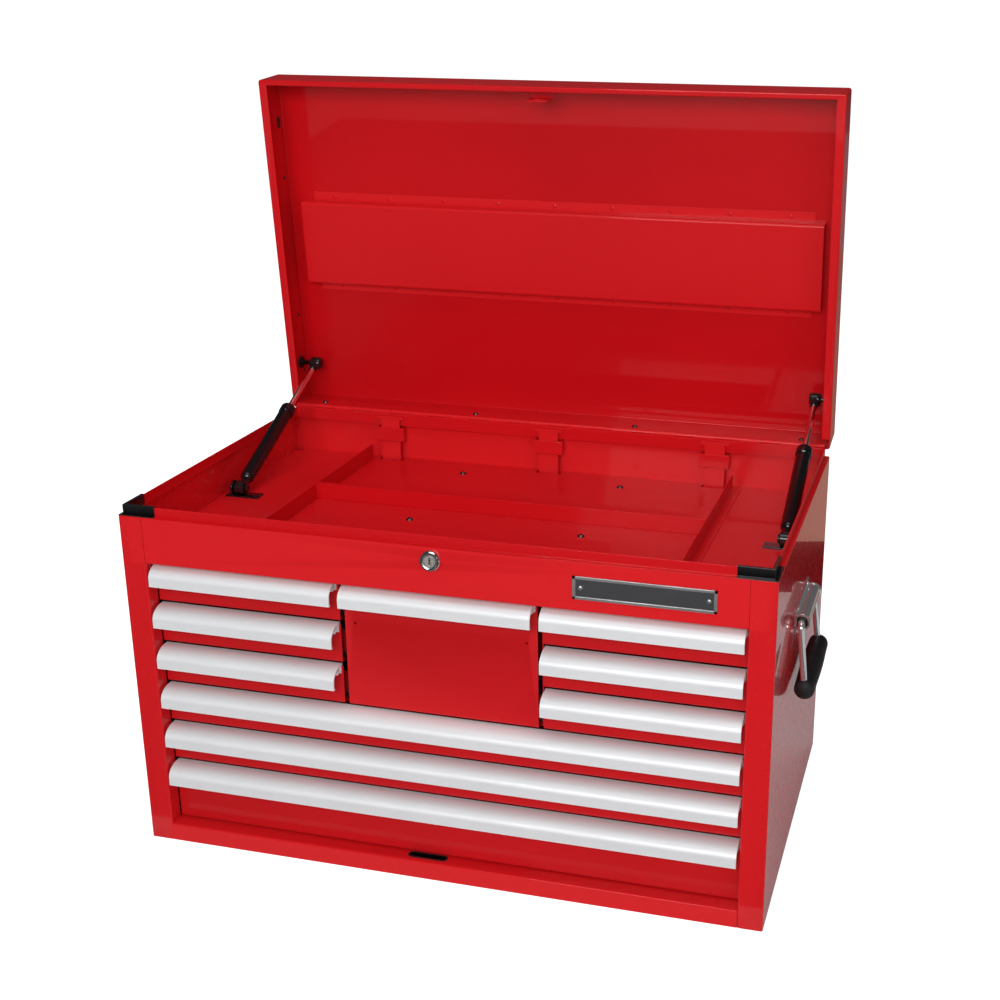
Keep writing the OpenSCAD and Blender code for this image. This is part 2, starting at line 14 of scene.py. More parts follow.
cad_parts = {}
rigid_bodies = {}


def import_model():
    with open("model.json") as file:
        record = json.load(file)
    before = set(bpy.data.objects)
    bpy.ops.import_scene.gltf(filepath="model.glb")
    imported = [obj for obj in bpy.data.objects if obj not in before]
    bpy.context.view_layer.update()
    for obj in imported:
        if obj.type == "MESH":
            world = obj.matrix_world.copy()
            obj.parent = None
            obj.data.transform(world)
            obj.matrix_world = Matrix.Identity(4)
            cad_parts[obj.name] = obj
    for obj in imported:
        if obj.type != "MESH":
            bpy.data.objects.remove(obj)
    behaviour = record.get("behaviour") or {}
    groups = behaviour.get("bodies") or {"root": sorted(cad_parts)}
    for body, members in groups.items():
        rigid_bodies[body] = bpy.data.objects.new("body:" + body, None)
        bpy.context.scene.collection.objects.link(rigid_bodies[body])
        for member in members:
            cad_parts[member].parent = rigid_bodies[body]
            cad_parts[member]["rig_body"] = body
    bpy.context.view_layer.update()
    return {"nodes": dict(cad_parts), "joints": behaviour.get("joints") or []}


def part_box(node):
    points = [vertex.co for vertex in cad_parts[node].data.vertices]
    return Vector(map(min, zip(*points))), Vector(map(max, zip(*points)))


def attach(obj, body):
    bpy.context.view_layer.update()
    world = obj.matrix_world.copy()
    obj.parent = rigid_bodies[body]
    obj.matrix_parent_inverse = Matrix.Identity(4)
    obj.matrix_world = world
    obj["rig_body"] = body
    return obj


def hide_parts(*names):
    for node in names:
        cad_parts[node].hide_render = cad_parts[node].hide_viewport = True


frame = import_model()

MM = 0.001
SIDES = (("left", -1), ("right", 1))


class Span:
    """Lowest and highest corners of a CAD node at rest, in millimetres."""

    def __init__(self, node):
        low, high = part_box(node)
        self.x0, self.y0, self.z0 = (round(v / MM, 3) for v in low)
        self.x1, self.y1, self.z1 = (round(v / MM, 3) for v in high)


def joint(name):
    """Place in millimetres and axis of one of the model's joints."""
    found = next(j for j in frame["joints"] if j["name"] == name)
    return Vector(found.get("pos_m", (0, 0, 0))) / MM, Vector(found["axis"])


# ---- main dimensions, most of them read from the frame ----

SHEET = 1.2
STILE_RETURN = 17.5  # depth of the folds round the opening for the drawers
rim = Span("rim")
HALF_W, FRONT, BACK = rim.x1, rim.y0, rim.y1
LIP_TOP = rim.z1
LEDGE = rim.z0 + SHEET
top_rail = Span("top_rail")
OPEN_HALF = Span("tray_wide_1").x1 + 1
TILL = Span("till_floor").z1
lock = Span("lock_housing")
LOCK_Z = (lock.z0 + lock.z1) / 2
HINGE, _ = joint("lid_hinge")
LID_OPEN = math.radians(85)
LID_TOP = HINGE.z + 50.4  # with the lid closed
STRUT_DEPTH = 215.0  # along y from a strut's lower pivot to its ball, with the lid open


# ---- mesh helpers ----

def fillet(points, radius, closed=False, steps=5):
    """Rounds the corners of a line; radius is one number or one for each point."""
    count = len(points)
    radii = radius if isinstance(radius, (list, tuple)) else [radius] * count
    out = []
    for i, point in enumerate(points):
        corner = Vector(point)
        if radii[i] <= 0 or (not closed and i in (0, count - 1)):
            out.append(corner)
            continue
        before = Vector(points[i - 1]) - corner
        after = Vector(points[(i + 1) % count]) - corner
        half = before.angle(after) / 2
        cut = min(radii[i] / math.tan(half), 0.49 * before.length, 0.49 * after.length)
        start = corner + before.normalized() * cut
        end = corner + after.normalized() * cut
        for k in range(steps + 1):
            t = k / steps
            out.append(start * (1 - t) ** 2 + corner * 2 * t * (1 - t) + end * t ** 2)
    return out


def folded(line, thickness=SHEET, bend=2.2):
    """Closed outline of a bent strip: the line with rounded bends, and its parallel to the right."""
    outer = fillet([Vector(p) for p in line], bend)
    inner = []
    for i, point in enumerate(outer):
        ways = []
        if i > 0:
            ways.append((point - outer[i - 1]).normalized())
        if i < len(outer) - 1:
            ways.append((outer[i + 1] - point).normalized())
        normal = sum((Vector((w.y, -w.x)) for w in ways), Vector((0, 0))) / len(ways)
        inner.append(point + normal * (thickness / normal.length_squared))
    return outer + inner[::-1]


def loft(bm, loops, closed=False, caps=True):
    """Skins equal loops of points; closed joins the last loop to the first."""
    rings = [[bm.verts.new(p) for p in loop] for loop in loops]
    count = len(rings[0])
    pairs = list(zip(rings, rings[1:])) + ([(rings[-1], rings[0])] if closed else [])
    for a, b in pairs:
        for i in range(count):
            j = (i + 1) % count
            bm.faces.new((a[i], a[j], b[j], b[i]))
    if caps and not closed:
        bm.faces.new(rings[0][::-1])
        bm.faces.new(rings[-1])


def prism(bm, outline, low, high, along="x", mirror=1):
    """Extrudes a closed outline; (u, v) is (y, z) along x, (x, z) along y and (x, y) along z."""
    place = {
        "x": lambda u, v, w: (w, u, v),
        "y": lambda u, v, w: (u * mirror, w, v),
        "z": lambda u, v, w: (u * mirror, v, w),
    }[along]
    loft(bm, [[place(p[0], p[1], w) for p in outline] for w in (low, high)])


def rounded_rectangle(inset, z, radius, steps=4):
    """Loop of a rectangle inset from the outline of the case: inset is (sides, front, back)."""
    sides, front, back = inset
    x1, y0, y1 = HALF_W - sides, FRONT + front, BACK - back
    loop = []
    for cx, cy, turn in ((x1, y1, 0), (-x1, y1, 1), (-x1, y0, 2), (x1, y0, 3)):
        sx, sy = math.copysign(1, cx), (1 if cy == y1 else -1)
        middle = Vector((cx - sx * radius, cy - sy * radius))
        for k in range(steps + 1):
            q = math.radians(90 * turn + 90 * k / steps)
            loop.append((middle.x + radius * math.cos(q), middle.y + radius * math.sin(q), z))
    return loop


def slab(bm, x, y, z, bevel=0.4):
    """Box between pairs of coordinates, with bevelled edges."""
    made = bmesh.ops.create_cube(bm, size=1)["verts"]
    size = Vector((x[1] - x[0], y[1] - y[0], z[1] - z[0]))
    middle = Vector((x[0] + x[1], y[0] + y[1], z[0] + z[1])) / 2
    for v in made:
        v.co = Vector(a * b for a, b in zip(v.co, size)) + middle
    if bevel:
        edges = {e for v in made for e in v.link_edges}
        bmesh.ops.bevel(bm, geom=list(edges), offset=bevel, segments=2, affect="EDGES")


def turned(bm, profile, origin, axis, steps=40):
    """Turns (radius, distance) points round an axis; the ends close on it or get caps."""
    to_axis = Vector((0, 0, 1)).rotation_difference(Vector(axis)).to_matrix()
    loops = []
    for radius, distance in profile:
        loops.append([
            Vector(origin) + to_axis @ Vector((radius * math.cos(q), radius * math.sin(q), distance))
            for q in (2 * math.pi * k / steps for k in range(steps))
        ])
    loft(bm, loops)


def tube(bm, path, radius, steps=20):
    """Round bar along a path."""
    way = (path[1] - path[0]).normalized()
    side = way.orthogonal().normalized()
    loops = []
    for i, point in enumerate(path):
        near = path[max(i - 1, 0)], path[min(i + 1, len(path) - 1)]
        new_way = (near[1] - near[0]).normalized()
        side = way.rotation_difference(new_way) @ side
        way = new_way
        up = way.cross(side)
        loops.append([
            point + radius * (side * math.cos(q) + up * math.sin(q))
            for q in (2 * math.pi * k / steps for k in range(steps))
        ])
    loft(bm, loops)


def cut(bm, cutter):
    """Takes the cutter's closed shells away from bm and returns a new mesh."""
    objects = []
    for source in (bm, cutter):
        bmesh.ops.recalc_face_normals(source, faces=source.faces)
        mesh = bpy.data.meshes.new("work")
        source.to_mesh(mesh)
        source.free()
        objects.append(bpy.data.objects.new("work", mesh))
        bpy.context.scene.collection.objects.link(objects[-1])
    modifier = objects[0].modifiers.new("cut", "BOOLEAN")
    modifier.operation = "DIFFERENCE"
    modifier.solver = "EXACT"
    modifier.object = objects[1]
    bpy.context.view_layer.update()
    evaluated = objects[0].evaluated_get(bpy.context.evaluated_depsgraph_get())
    result = bmesh.new()
    result.from_mesh(evaluated.to_mesh())
    for o in objects:
        bpy.data.objects.remove(o)
    return result


def opened_lid():
    """Turns what is drawn for the closed lid to the lid's open place."""
    return (Matrix.Translation(HINGE) @ Matrix.Rotation(-LID_OPEN, 4, "X")
            @ Matrix.Translation(-HINGE))


def piece(name, bm, material, body, stands_for=(), bevel=0, sharp=35, move=None):
    """Finishes a mesh in millimetres as one piece that rides on a body."""
    if move:
        bm.transform(move)
    bmesh.ops.recalc_face_normals(bm, faces=bm.faces)
    bm.transform(Matrix.Scale(MM, 4))
    mesh = bpy.data.meshes.new(name)
    bm.to_mesh(mesh)
    bm.free()
    mesh.materials.append(material)
    obj = bpy.data.objects.new(name, mesh)
    bpy.context.scene.collection.objects.link(obj)
    if bevel:
        edge = obj.modifiers.new("edges", "BEVEL")
        edge.width = bevel * MM
        edge.segments = 2
        edge.limit_method = "ANGLE"
        edge.angle_limit = math.radians(40)
        edge.use_clamp_overlap = True
    mesh.polygons.foreach_set("use_smooth", [True] * len(mesh.polygons))
    mesh.set_sharp_from_angle(angle=math.radians(sharp))
    weighted = obj.modifiers.new("normals", "WEIGHTED_NORMAL")
    weighted.keep_sharp = True
    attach(obj, body)
    if stands_for:
        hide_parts(*stands_for)
    return obj


def eased(node, material, bevel=0.35, sharp=50):
    """A finished copy of a CAD node: welded, its flat faces joined and its edges eased."""
    source = frame["nodes"][node]
    bm = bmesh.new()
    bm.from_mesh(source.data)
    bmesh.ops.remove_doubles(bm, verts=bm.verts, dist=1e-6)
    bmesh.ops.dissolve_limit(bm, angle_limit=math.radians(0.5), verts=bm.verts, edges=bm.edges)
    bm.transform(Matrix.Scale(1 / MM, 4))
    return piece(f"{node}_finished", bm, material, source["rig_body"], (node,),
                 bevel=bevel, sharp=sharp)


# ---- materials ----

class Finish:
    """A Principled material with a few procedural helpers, in object coordinates (metres)."""

    def __init__(self, name, **sockets):
        self.material = bpy.data.materials.new(name)
        self.material.use_nodes = True
        self.tree = self.material.node_tree
        self.shader = self.tree.nodes["Principled BSDF"]
        for label, value in sockets.items():
            self.shader.inputs[label.replace("_", " ")].default_value = value
        self.place = self.tree.nodes.new("ShaderNodeTexCoord").outputs["Object"]
        self.height = None

    def noise(self, scale, detail=3.0, stretch=(1, 1, 1)):
        mapping = self.tree.nodes.new("ShaderNodeMapping")
        mapping.inputs["Scale"].default_value = stretch
        self.tree.links.new(self.place, mapping.inputs["Vector"])
        texture = self.tree.nodes.new("ShaderNodeTexNoise")
        texture.inputs["Scale"].default_value = scale
        texture.inputs["Detail"].default_value = detail
        self.tree.links.new(mapping.outputs["Vector"], texture.inputs["Vector"])
        return texture.outputs["Fac"]

    def edges(self):
        return self.tree.nodes.new("ShaderNodeNewGeometry").outputs["Pointiness"]

    def spread(self, value, low, high, to_low=0.0, to_high=1.0):
        node = self.tree.nodes.new("ShaderNodeMapRange")
        for label, number in (("From Min", low), ("From Max", high),
                              ("To Min", to_low), ("To Max", to_high)):
            node.inputs[label].default_value = number
        self.tree.links.new(value, node.inputs["Value"])
        return node.outputs["Result"]

    def blend(self, share, first, second):
        node = self.tree.nodes.new("ShaderNodeMix")
        node.data_type = "RGBA"
        self.tree.links.new(share, node.inputs[0])
        for socket, colour in ((node.inputs[6], first), (node.inputs[7], second)):
            if isinstance(colour, tuple):
                socket.default_value = (*colour, 1)
            else:
                self.tree.links.new(colour, socket)
        return node.outputs[2]

    def feed(self, label, output):
        self.tree.links.new(output, self.shader.inputs[label])

    def bump(self, output, strength, distance):
        node = self.tree.nodes.new("ShaderNodeBump")
        node.inputs["Strength"].default_value = strength
        node.inputs["Distance"].default_value = distance
        self.tree.links.new(output, node.inputs["Height"])
        if self.height:
            self.tree.links.new(self.height, node.inputs["Normal"])
        self.height = node.outputs["Normal"]
        self.feed("Normal", self.height)


def enamel(name, colour, shade, gloss, coat, peel=1.0):
    """Sprayed enamel: slightly uneven colour, orange peel, gentle waves in the sheet, and convex edges
    tinted lighter, partly as wear and partly as a painted highlight.
    """
    f = Finish(name, Specular_IOR_Level=0.12, Coat_Weight=coat, Coat_Roughness=0.02)
    even = f.spread(f.noise(2.6, 2), 0.35, 0.65)
    base = f.blend(even, shade, colour)
    # lighter colour for the convex edges: partly wear, partly a painted highlight
    light = tuple(min(1.0, c * 1.25 + 0.012) for c in colour)
    edge_wear_and_highlight = f.spread(f.edges(), 0.53, 0.62, 0, 0.55)
    f.feed("Base Color", f.blend(edge_wear_and_highlight, base, light))
    f.feed("Roughness", f.spread(f.noise(90, 2), 0.3, 0.7, gloss * 0.93, gloss * 1.1))
    f.bump(f.noise(5, 0), 0.015, 0.002)
    f.bump(f.noise(420, 1), 0.014 * peel, 0.0003)
    return f.material


def metal(name, colour, shade, rough, stretch=(1, 1, 1), grain=900, bump=0.05, metallic=1.0):
    """Bare or plated metal with directional grain, smudges, and convex edges tinted brighter, partly
    as wear and partly as a painted highlight.
    """
    f = Finish(name, Metallic=metallic, Specular_IOR_Level=0.5)
    smudge = f.spread(f.noise(18, 4), 0.35, 0.65)
    base = f.blend(smudge, shade, colour)
    # brighter colour on the convex edges: partly wear, partly a painted highlight
    edge_wear_and_highlight = f.spread(f.edges(), 0.53, 0.60, 0, 0.6)
    f.feed("Base Color", f.blend(edge_wear_and_highlight, base, tuple(min(1.0, c * 1.15 + 0.02) for c in colour)))
    lines = f.noise(grain, 3, stretch)
    f.feed("Roughness", f.spread(lines, 0.3, 0.7, rough * 0.75, rough * 1.3))
    f.bump(lines, bump, 0.0002)
    return f.material


def moulded(name, colour, rough, grain, strength, specular=0.5):
    """Moulded plastic or rubber: near-black, finely grained, greyer along its convex edges, partly as
    wear and partly as a painted highlight.
    """
    f = Finish(name, Specular_IOR_Level=specular)
    dust = f.spread(f.noise(30, 5), 0.4, 0.75, 0, 0.5)
    pale = tuple(c * 2.2 + 0.001 for c in colour)
    # grey on the convex edges: partly wear, partly a painted highlight
    edge_wear_and_highlight = f.spread(f.edges(), 0.52, 0.62, 0, 0.6)
    f.feed("Base Color", f.blend(edge_wear_and_highlight, f.blend(dust, colour, pale), (0.05, 0.05, 0.052)))
    f.feed("Roughness", f.spread(f.noise(80, 3), 0.3, 0.7, rough * 0.85, rough * 1.15))
    f.bump(f.noise(grain, 2), strength, 0.0003)
    return f.material


FINE_PEEL = 0.15  # of the usual orange peel, for the walls that mirror the studio

red = enamel("red_enamel", (0.66, 0.006, 0.010), (0.60, 0.005, 0.009), gloss=0.30, coat=0.35)
side_red = enamel("side_enamel", (0.66, 0.006, 0.010), (0.60, 0.005, 0.009), gloss=0.26, coat=0.72,
                  peel=FINE_PEEL)
tray_red = enamel("tray_enamel", (0.60, 0.006, 0.010), (0.52, 0.005, 0.008), gloss=0.34, coat=0.3)
silver = metal("anodised", (0.88, 0.89, 0.905), (0.85, 0.86, 0.875), rough=0.44,
               stretch=(1, 60, 60), grain=30, bump=0.03, metallic=0.2)
chrome = metal("plating", (0.92, 0.925, 0.935), (0.78, 0.785, 0.80), rough=0.12, grain=300, bump=0.02)
# copy of the plating for the handles, part diffuse so it shows lit white: a painted sheen over the
# chrome
chrome_with_painted_sheen = metal("plating_with_painted_sheen", (0.95, 0.955, 0.965), (0.86, 0.865, 0.88), rough=0.10,
                      grain=300, bump=0.02, metallic=0.82)
nickel = metal("nickel_plate", (0.78, 0.76, 0.70), (0.66, 0.64, 0.58), rough=0.28, grain=400,
               bump=0.03, metallic=0.7)
plate = metal("nameplate_metal", (0.60, 0.60, 0.61), (0.48, 0.48, 0.49), rough=0.30,
              stretch=(1, 1, 60), grain=30, metallic=0.8)
plate_field = metal("nameplate_field", (0.10, 0.10, 0.105), (0.07, 0.07, 0.074), rough=0.36,
                    stretch=(1, 60, 60), grain=30, bump=0.1, metallic=0.6)
dark_steel = metal("rolled_steel", (0.16, 0.162, 0.165), (0.09, 0.092, 0.095), rough=0.36,
                   stretch=(1, 1, 30), grain=60)
zinc = metal("zinc_plate", (0.20, 0.20, 0.20), (0.10, 0.10, 0.10), rough=0.22, grain=500)
gloss_black = enamel("black_enamel", (0.006, 0.006, 0.007), (0.004, 0.004, 0.005), gloss=0.25,
                     coat=0.9)
plastic = moulded("black_plastic", (0.002, 0.002, 0.0025), rough=0.13, grain=700, strength=0.03)
rubber = moulded("black_rubber", (0.010, 0.010, 0.011), rough=0.55, grain=500, strength=0.25,
                 specular=0.35)


# ---- case ----

def build_sides():
    """Side walls with the corner bend, the front stile and the stile's inward return."""
    seam = top_rail.x1
    seam_gap = 0.5
    low = folded([(HALF_W, BACK), (HALF_W, FRONT), (OPEN_HALF, FRONT),
                  (OPEN_HALF, FRONT + STILE_RETURN)])
    high = folded([(HALF_W, BACK), (HALF_W, FRONT), (seam + seam_gap, FRONT)])
    for side, sign in SIDES:
        bm = bmesh.new()
        prism(bm, low, 0, top_rail.z0, "z", sign)
        prism(bm, high, top_rail.z0, rim.z0, "z", sign)
        piece(f"case_side_{side}", bm, side_red, "case", (f"side_{side}",))


def build_top_rail():
    """Rail above the drawers, with its fold over them and the hole for the lock."""
    bm = bmesh.new()
    section = folded([(FRONT + STILE_RETURN, top_rail.z0), (FRONT, top_rail.z0), (FRONT, rim.z0)],
                     bend=1.8)
    prism(bm, section, top_rail.x0, top_rail.x1)
    cutter = bmesh.new()
    _, lock_axis = joint("lock_turn")
    hole_radius = 9.3
    turned(cutter, [(hole_radius, -10), (hole_radius, 10)], (0, FRONT, LOCK_Z), lock_axis)
    piece("rail_above_drawers", cut(bm, cutter), red, "case", ("top_rail",))


def build_bottom():
    """Floor of the case and the upturned front rail with its slot, lined with a black insert that is
    painted shade for the slot's dark inside.
    """
    bm = bmesh.new()
    pan = Span("bottom_pan")
    rail_back = FRONT + 25.2
    rail = folded([(FRONT, 0), (FRONT, pan.z1), (rail_back, pan.z1), (rail_back, SHEET)], bend=1.8)
    prism(bm, rail, -OPEN_HALF, OPEN_HALF)
    slot_x, slot_y, slot_half, slot_radius = -20, FRONT + 12, 17, 4

    def slot_loop(radius, z):
        loop = []
        for k in range(32):
            q = 2 * math.pi * (k + 0.5) / 32
            shift = math.copysign(slot_half, math.cos(q))
            loop.append((slot_x + shift + radius * math.cos(q), slot_y + radius * math.sin(q), z))
        return loop

    cutter = bmesh.new()
    loft(cutter, [slot_loop(slot_radius, pan.z1 - 5), slot_loop(slot_radius, pan.z1 + 5)])
    bm = cut(bm, cutter)
    slab(bm, (pan.x0, pan.x1), (pan.y0 + SHEET, pan.y1), (0, SHEET), 0.3)
    piece("case_floor_and_rail", bm, red, "case", ("bottom_pan",))
    # (radius, height over the rail) from the black insert's foot round its collar to the pocket's
    # floor; the insert is painted shade
    bm = bmesh.new()
    shade_insert = [(3.9, -9), (3.9, -SHEET), (3.9, 0), (5.4, 0), (5.4, 0.3), (5.1, 0.6), (3.6, 0.6),
             (3.3, 0.3), (3.3, -8)]
    loft(bm, [slot_loop(radius, pan.z1 + up) for radius, up in shade_insert])
    # black insert in the slot: painted shade for its dark inside
    piece("rail_slot_shade_insert", bm, plastic, "case")


def build_rim():
    """Ledge round the top of the case with its upstanding lip."""
    corner, ledge_w = 2.2, 5
    section = fillet(
        [(0, rim.z0), (0, LEDGE), (ledge_w, LEDGE), (ledge_w, LIP_TOP),
         (ledge_w + SHEET, LIP_TOP), (ledge_w + SHEET, rim.z0)],
        [0, 1.1, 0.8, 0.55, 0.55, 0], closed=True, steps=4)
    loops = [rounded_rectangle((d, d, d), z, max(corner - d, 0.4)) for d, z in section]
    bm = bmesh.new()
    loft(bm, loops, closed=True)
    piece("rim_with_lip", bm, red, "case", ("rim",))


def build_badge():
    """Plain nameplate: a raised frame round a sunk, brushed field, on two dome rivets."""
    b = Span("badge")
    bar, field, rivet_inset = 3.2, 1.0, 8
    bm = bmesh.new()
    slab(bm, (b.x0 + 1, b.x1 - 1), (b.y1 - field, b.y1), (b.z0 + 1, b.z1 - 1), 0.3)
    piece("nameplate_field", bm, plate_field, "case")
    bm = bmesh.new()
    frame_y = b.y0, b.y1 - field / 2
    for z in ((b.z0, b.z0 + bar), (b.z1 - bar, b.z1)):
        slab(bm, (b.x0, b.x1), frame_y, z, 0.5)
    for x in ((b.x0, b.x0 + bar), (b.x1 - bar, b.x1)):
        slab(bm, x, frame_y, (b.z0, b.z1), 0.5)
    middle = (b.z0 + b.z1) / 2
    dome = [(0.01, 0.9), (1.2, 0.75), (2.0, 0.35), (2.3, 0), (2.3, -0.3)]
    for x in (b.x0 + rivet_inset, b.x1 - rivet_inset):
        turned(bm, dome, (x, b.y1 - field, middle), (0, -1, 0), 20)
    piece("nameplate", bm, plate, "case", ("badge",))


# ---- lock ----

def build_lock():
    """Chromed lock ring, dished towards the plug, and the plug with its keyway, darkened by a dark
    steel slab that is painted shade.
    """
    outer = (lock.z1 - lock.z0) / 2
    face = FRONT - lock.y0
    bm = bmesh.new()
    # from the rim's foot over the rounded face and down into the bore, then back along the barrel
    profile = [(outer, 0), (outer, face * 0.35), (outer - 0.5, face * 0.75), (outer - 1.6, face),
               (8.2, face), (7.2, face * 0.85), (6.45, face * 0.45), (6.35, -2), (6.35, -21.5),
               (9.2, -21.5), (9.2, 0)]
    loops = []
    for radius, reach in profile:
        loops.append([(radius * math.cos(q), FRONT - reach, LOCK_Z + radius * math.sin(q))
                      for q in (2 * math.pi * k / 56 for k in range(56))])
    loft(bm, loops, closed=True)
    piece("lock_ring", bm, chrome, "case", ("lock_housing",), sharp=40)
    eased("lock_plug", nickel, 0.3, 40)
    bm = bmesh.new()
    # dark steel slab in the keyway: painted shade that makes the slot read dark
    slab(bm, (-0.85, 0.85), (FRONT - 2.2, FRONT - 1.05), (LOCK_Z - 3.7, LOCK_Z + 3.7), 0.1)
    piece("lock_keyway_shade", bm, dark_steel, "lock_cylinder")


# ---- lid ----

def build_lid():
    """Lid pan: panel, flanges with rounded bends and turned-in lips, and plugged side holes."""
    top, free_edge = LID_TOP, HINGE.z - 0.6
    side_lip, front_lip = 9 + SHEET, 6
    thin = SHEET
    chain = [
        # (sides, front, back) insets and height, from the panel's outside round to its inside
        ((30, 30, 30), top), ((3.0, 3.0, 3.0), top), ((1.4, 1.4, 1.4), top - 0.35),
        ((0.35, 0.35, 0.35), top - 1.4), ((0, 0, 0), top - 3.0),
        ((0, 0, 0), free_edge + 1.6), ((0.5, 0.5, 0.3), free_edge + 0.5),
        ((1.6, 1.6, 0.9), free_edge), ((side_lip - 0.4, front_lip - 0.4, 1.0), free_edge),
        ((side_lip, front_lip, thin), free_edge + 0.3),
        ((side_lip, front_lip, thin), free_edge + thin - 0.3),
        ((side_lip - 0.4, front_lip - 0.4, thin), free_edge + thin),
        ((thin + 0.6, thin + 0.6, thin), free_edge + thin + 0.05),
        ((thin, thin, thin), free_edge + thin + 0.8),
        ((thin, thin, thin), top - 3.2), ((thin + 0.6, thin + 0.6, thin + 0.6), top - thin - 0.6),
        ((3.2, 3.2, 3.2), top - thin), ((30, 30, 30), top - thin),
    ]
    bm = bmesh.new()
    loft(bm, [rounded_rectangle(d, z, max(3.0 - d[0], 0.5)) for d, z in chain])
    cutter = bmesh.new()
    hole_z, hole_radius, plug_radius = HINGE.z + 38, 2.2, 2.1
    round_holes = [HINGE.y - forward for forward in (34, 108, 282)]
    oval_y, oval_shift, oval_radius = HINGE.y - 349, 3, 4
    reach = HALF_W + 5
    for y in round_holes:
        turned(cutter, [(hole_radius, -reach), (hole_radius, reach)], (0, y, hole_z), (1, 0, 0), 20)
    oval = []
    for k in range(24):
        q = 2 * math.pi * k / 24
        shift = oval_shift if math.cos(q) > 0 else -oval_shift
        oval.append((oval_y + shift + oval_radius * math.cos(q), hole_z + oval_radius * math.sin(q)))
    prism(cutter, oval, -reach, reach)
    # the back flange stops above the knuckles, and the turned-in lips stop short of the hinge
    cleared = free_edge - 3, HINGE.z + 2.9
    slab(cutter, (-HALF_W + 20, HALF_W - 20), (BACK - 3, BACK + 2), cleared, 0)
    for _, sign in SIDES:
        inner = sorted((sign * (HALF_W - side_lip - 2), sign * (HALF_W - thin - 0.01)))
        slab(cutter, inner, (BACK - 13, BACK - thin - 0.01), cleared, 0)
    piece("lid_shell", cut(bm, cutter), red, "lid", ("lid_pan",), move=opened_lid())
    bm = bmesh.new()
    inside, outside = HALF_W - SHEET - 0.3, HALF_W - 0.2
    fit = 0.98
    oval_plug = [(oval_y + (y - oval_y) * fit, hole_z + (z - hole_z) * fit) for y, z in oval]
    for _, sign in SIDES:
        for y in round_holes:
            turned(bm, [(plug_radius, inside), (plug_radius, outside)], (0, y, hole_z),
                   (sign, 0, 0), 20)
        prism(bm, oval_plug, sign * inside, sign * outside)
    piece("lid_hole_plugs", bm, plastic, "lid", move=opened_lid())


def build_stiffener():
    """Folded band across the inside of the lid, with spot-welded feet."""
    near, far = HINGE.y - 153, HINGE.y - 253
    panel = LID_TOP - SHEET
    depth, half, foot = 14, 322, 12
    spots, spot_inset = 9, 40
    bm = bmesh.new()
    # drawn down one side, along the face and up the other side, with the sheet inside this line
    band = folded([(far, panel - 0.05), (far, panel - depth), (near, panel - depth),
                   (near, panel - 0.05)], bend=2.4)
    prism(bm, [(p.x, p.y) for p in band], -half, half)
    for lip in ((far - foot, far + 0.6), (near - 0.6, near + foot)):
        slab(bm, (-half + foot, half - foot), lip, (panel - SHEET, panel), 0.35)
    for lip_y in (far - foot / 2, near + foot / 2):
        for k in range(spots):
            spot_x = (half - spot_inset) * (2 * k / (spots - 1) - 1)
            turned(bm, [(0.01, -0.9), (2.2, -0.8), (3.0, -0.35), (3.2, 0.5)],
                   (spot_x, lip_y, panel - SHEET + 0.6), (0, 0, 1), 20)
    piece("lid_band", bm, red, "lid", ("lid_stiffener",), move=opened_lid())


def build_hinge_edge():
    """The case leaf's edge between its own knuckles, close in front of those of the lid's leaf."""
    leaf = Span("hinge_case_leaf")
    edge = HINGE.z - 1.6
    bm = bmesh.new()
    slab(bm, (leaf.x0 + 0.5, leaf.x1 - 0.5), (leaf.y0 + 0.2, leaf.y0 + 0.8), (LIP_TOP - 2, edge), 0.1)
    piece("hinge_leaf_edge", bm, red, "case")


def build_screws():
    """Domed screw heads with a washer face: in the till floor and along the lid's hinge leaf."""
    head = [(4.3, 0), (4.3, 0.5), (3.6, 0.7), (3.3, 1.4), (2.2, 2.1), (0.9, 2.3), (0.8, 1.5),
            (0.01, 1.5)]
    till_x, till_y = (-100, 100), (FRONT + 190, FRONT + 364)
    lid_x, over_hinge, smaller = (-308, -103, 103, 308), 19, 0.85
    bm = bmesh.new()
    for x in till_x:
        for y in till_y:
            turned(bm, head, (x, y, TILL), (0, 0, 1), 24)
    piece("till_screw_heads", bm, zinc, "case", ("till_screws",))
    bm = bmesh.new()
    for x in lid_x:
        turned(bm, [(radius * smaller, height * smaller) for radius, height in head],
               (x, BACK - 2 * SHEET, HINGE.z + over_hinge), (0, -1, 0), 24)
    piece("lid_screw_heads", bm, zinc, "lid", ("lid_screws",), move=opened_lid())


# ---- gas struts ----

